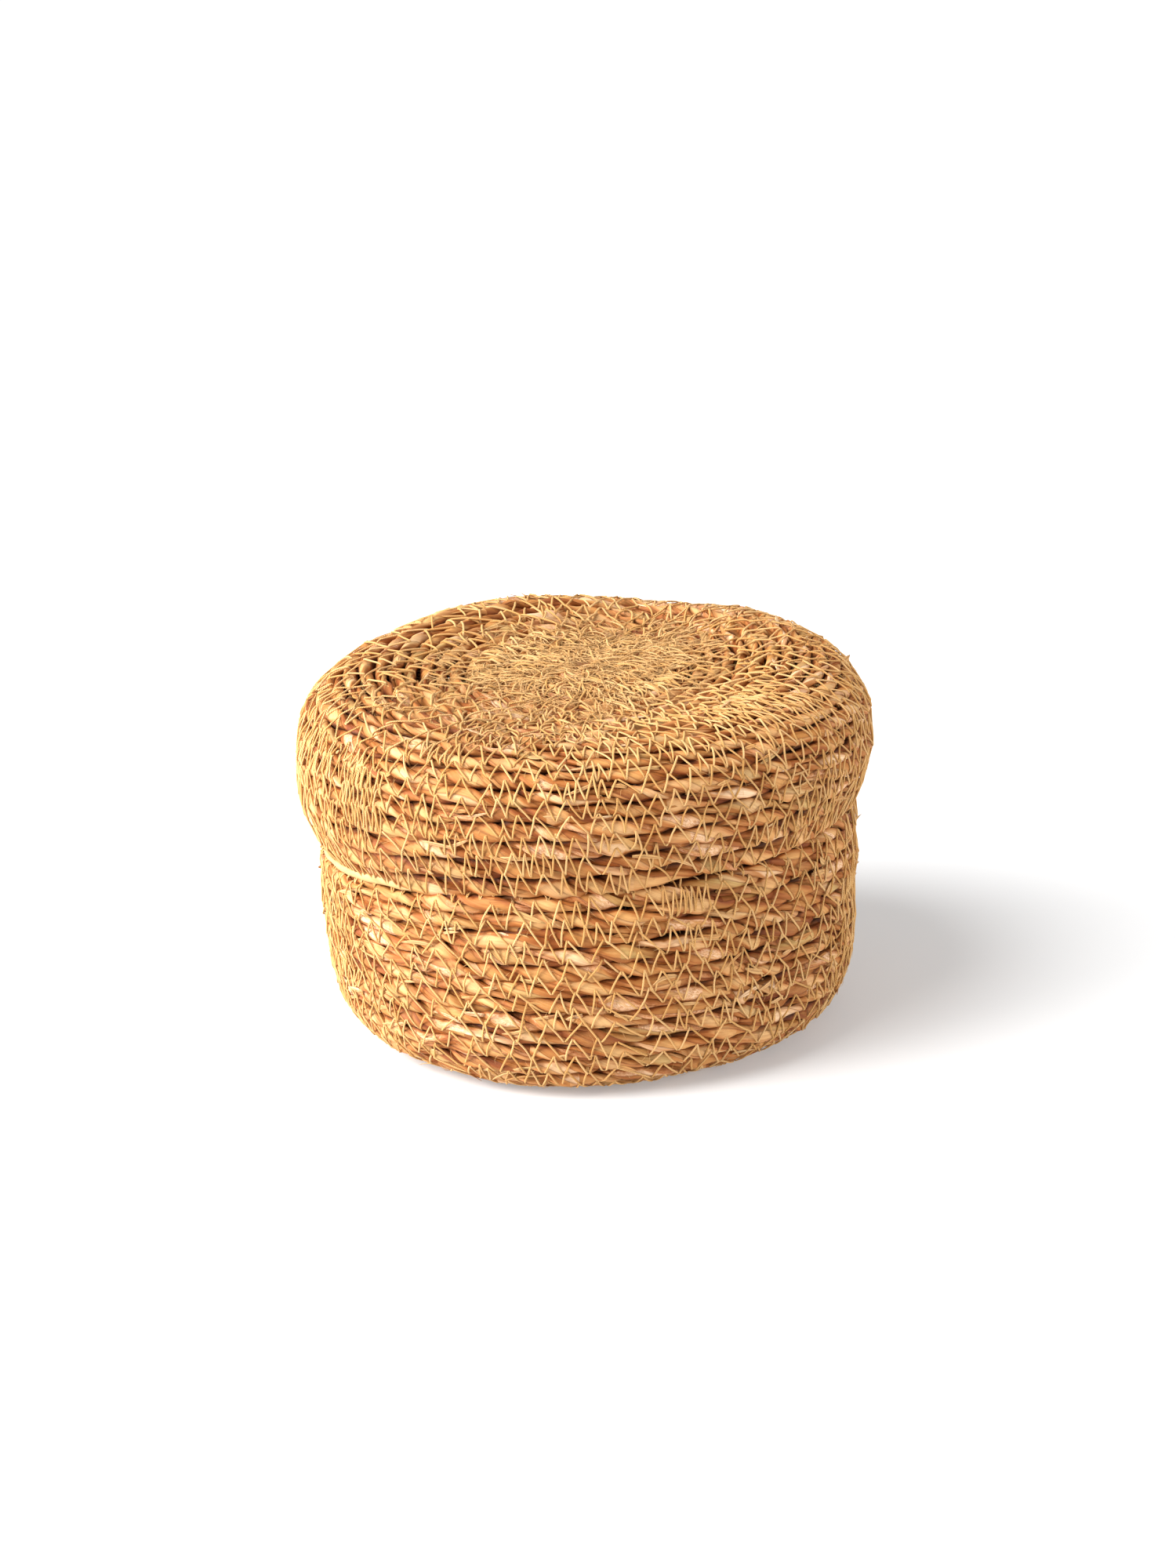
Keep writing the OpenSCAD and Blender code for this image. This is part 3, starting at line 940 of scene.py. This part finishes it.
CORNER_AT, WALL_AT = FLOOR_TURNS - 0.5, FLOOR_TURNS + CORNER_TURNS - 0.5
SHOULDER_AT, LID_WALL_AT = TOP_TURNS - 0.5, TOP_TURNS + SHOULDER_TURNS - 0.5
TOP_ROW = LEAVES_WALL - 2       # the last row of stitches below the ledge
BASE_SEWN, LID_SEWN = BASE_LAST - 1.02, LID_LAST - 0.5      # where the sewing ends
FINE_FIBRES = dict(length=(2, 6), radius=0.07, lift=(0.0, 0.8), sides=3, rings=5, leave=1.2)


def finish_piece(piece, body, slot, *nodes):
    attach(piece, body)
    if nodes:
        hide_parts(*nodes)


def cord_piece(name, cord, u0, u1, rings, *nodes):
    tubes = Tubes()
    add_cord(tubes, cord, u0, u1, *rings)
    finish_piece(tubes.make(name, SEAGRASS, CORD_SHAPE), cord.body, "seagrass_cord", *nodes)


def leaf_piece(name, cord, away, side, thick, wide, node):
    tubes = Tubes()
    add_leaf(tubes, cord, away, side, thick, wide)
    finish_piece(tubes.make(name, LEAF, CORD_SHAPE), cord.body, "seagrass_leaf", node)


def stitch_piece(name, cord, face, spans, *nodes):
    """spans is a list of (u0, u1, half step, seed, holes, crowded places, slack). Slack thread has
    puffed up a little."""
    tubes = Tubes()
    for span in spans:
        add_legs(tubes, cord, zigzag(cord, *span), face, THREAD_R * (1.15 if span[-1] > 0.3 else 1))
    finish_piece(tubes.make(name, COTTON, LEG_SHAPE), cord.body, "cotton_thread", *nodes)


def fibre_piece(name, cord, layers):
    tubes = Tubes()
    for layer in layers:
        add_fibres(tubes, cord, **layer)
    finish_piece(tubes.make(name, COTTON, LEG_SHAPE), cord.body, "cotton_thread")


def flake_piece(name, cord, count, seed, u_range, stubs=()):
    tubes = Tubes()
    add_flakes(tubes, cord, count, seed, u_range, stubs)
    finish_piece(tubes.make(name, SEAGRASS, LEG_SHAPE), cord.body, "seagrass_cord")


def build_base():
    cord_piece("base_floor_cord", BASE, CORD_START, CORNER_AT, HIDDEN,
               "base_centre_loop", "base_floor_coil")
    cord_piece("base_corner_cord", BASE, CORNER_AT, WALL_AT, SHOWN, "base_corner_coil")
    cord_piece("base_wall_cord", BASE, WALL_AT, LEAVES_WALL, SHOWN, "base_wall_coil")
    cord_piece("base_neck_cord", BASE, LEAVES_WALL, BASE_LAST, HIDDEN,
               "base_ledge_coil", "base_neck_coil")
    leaf_piece("base_tail_leaf", BASE, -2.6, 1.4, 0.7, 1.3, "base_cord_tail")
    stitch_piece("base_floor_stitches", BASE, OUTSIDE_HIDDEN,
                 [(0.2, CORNER_AT, 3.4, 300, BASE_HOLES, (), 0.0)])
    stitch_piece("base_corner_stitches", BASE, OUTSIDE,
                 [(CORNER_AT, WALL_AT, 4.3, 310, BASE_HOLES, BASE_CROWDS, 0.1)])
    stitch_piece("base_wall_stitches", BASE, OUTSIDE,
                 [(WALL_AT, TOP_ROW, 4.4, 320, BASE_HOLES, BASE_CROWDS, 0.1),
                  (TOP_ROW, TOP_ROW + 1, 4.0, 321, TOP_ROW_HOLES, BASE_CROWDS, 0.1)],
                 "base_outer_thread")
    stitch_piece("base_neck_stitches", BASE, OUTSIDE_HIDDEN,
                 [(TOP_ROW + 1, BASE_SEWN, 3.6, 330, BASE_HOLES, (), 0.0)])
    stitch_piece("base_inside_stitches", BASE, INSIDE,
                 [(0.2, BASE_SEWN, 3.8, 340, BASE_HOLES, (), 0.0)], "base_inner_thread")
    fibre_piece("base_loose_fibres", BASE,
                [dict(FINE_FIBRES, count=900, seed=350, u_range=(12.0, 26.0, 1.0))])
    flake_piece("base_leaf_ends", BASE, 240, 360, (13, 25), BASE_STUBS)


def build_lid():
    cord_piece("lid_top_cord", LID, CORD_START, SHOULDER_AT, LID_SHOWN,
               "lid_centre_loop", "lid_top_coil")
    cord_piece("lid_shoulder_cord", LID, SHOULDER_AT, LID_WALL_AT, LID_SHOWN, "lid_shoulder_coil")
    cord_piece("lid_wall_cord", LID, LID_WALL_AT, LID.last, LID_SHOWN,
               "lid_wall_coil", "lid_rim_coil")
    leaf_piece("lid_tail_leaf", LID, 2.7, 0.9, 0.8, 1.75, "lid_cord_tail")
    stitch_piece("lid_top_stitches", LID, OUTSIDE,
                 [(0.2, 6.0, 3.0, 400, LID_TOP_HOLES, (), 0.9),
                  (6.0, SHOULDER_AT, 4.0, 401, LID_TOP_HOLES, LID_CROWDS, 0.6)])
    stitch_piece("lid_shoulder_stitches", LID, OUTSIDE,
                 [(SHOULDER_AT, LID_WALL_AT, 3.2, 410, LID_HOLES, LID_CROWDS, 0.3)],
                 "lid_outer_thread")
    stitch_piece("lid_wall_stitches", LID, OUTSIDE,
                 [(LID_WALL_AT, LID_SEWN, 3.0, 420, LID_HOLES, LID_CROWDS, 0.1)])
    stitch_piece("lid_inside_stitches", LID, INSIDE,
                 [(0.2, LID_SEWN, 2.9, 430, LID_HOLES, (), 0.0)], "lid_inner_thread")
    fibre_piece("lid_loose_fibres", LID, [
        dict(count=600, seed=440, u_range=(0.0, 6.5, 0.62), length=(5, 14), radius=0.22,
             lift=(0.3, 1.5), sides=4, rings=7, leave=0.8),
        dict(count=1500, seed=441, u_range=(0.0, 9.0, 0.7), length=(3, 9), radius=0.10,
             lift=(0.4, 1.7), sides=3, rings=5, leave=1.2),
        dict(FINE_FIBRES, count=900, seed=442, u_range=(13.0, 24.0, 1.0))])
    flake_piece("lid_leaf_ends", LID, 220, 450, (8, 23))


# -------- floor and light

WHITE = (1.0, 1.0, 1.0, 1.0)
FLOOR_HALF = 6.0
FLOOR_GREY, FLOOR_GLOW = 0.62, 0.23     # the floor glows a little, as a white sweep does
SKY = 0.445
SUN_POWER, SUN_ANGLE = 3.45, math.radians(42)
SUN_FROM = Vector((-0.75, -0.36, 0.97))


def add_floor():
    mesh = bpy.data.meshes.new("floor")
    corners = [(-1, -1), (1, -1), (1, 1), (-1, 1)]
    mesh.from_pydata([(x * FLOOR_HALF, y * FLOOR_HALF, 0) for x, y in corners], [], [(0, 1, 2, 3)])
    floor = link("floor", mesh)
    n = Nodes("floor")
    n.shader.inputs["Base Color"].default_value = (FLOOR_GREY, FLOOR_GREY, FLOOR_GREY, 1.0)
    n.shader.inputs["Roughness"].default_value = 0.9
    n.shader.inputs["Emission Color"].default_value = WHITE
    n.shader.inputs["Emission Strength"].default_value = FLOOR_GLOW
    mesh.materials.append(n.material)


def add_area(name, place, size, power):
    """A round lamp that faces the basket."""
    data = bpy.data.lights.new(name, "AREA")
    data.shape = "DISK"
    data.size, data.energy = size, power
    aim = facing(Vector(place) - LOOK_AT)
    link(name, data).matrix_world = Matrix.Translation(place) @ aim


def add_lights():
    world = bpy.data.worlds.new("studio")
    world.use_nodes = True
    background = world.node_tree.nodes["Background"]
    background.inputs[0].default_value, background.inputs[1].default_value = WHITE, SKY
    bpy.context.scene.world = world
    sun = bpy.data.lights.new("key", "SUN")
    sun.energy, sun.angle = SUN_POWER, SUN_ANGLE
    link("key", sun).matrix_world = facing(SUN_FROM)
    add_area("side", (-1.35, -0.28, 0.52), 1.3, 47.0)
    add_area("fill", (1.7, -0.75, 0.5), 1.4, 21.0)


add_camera()
build_base()
build_lid()
add_floor()
add_lights()
bpy.context.scene.view_settings.view_transform = "Standard"
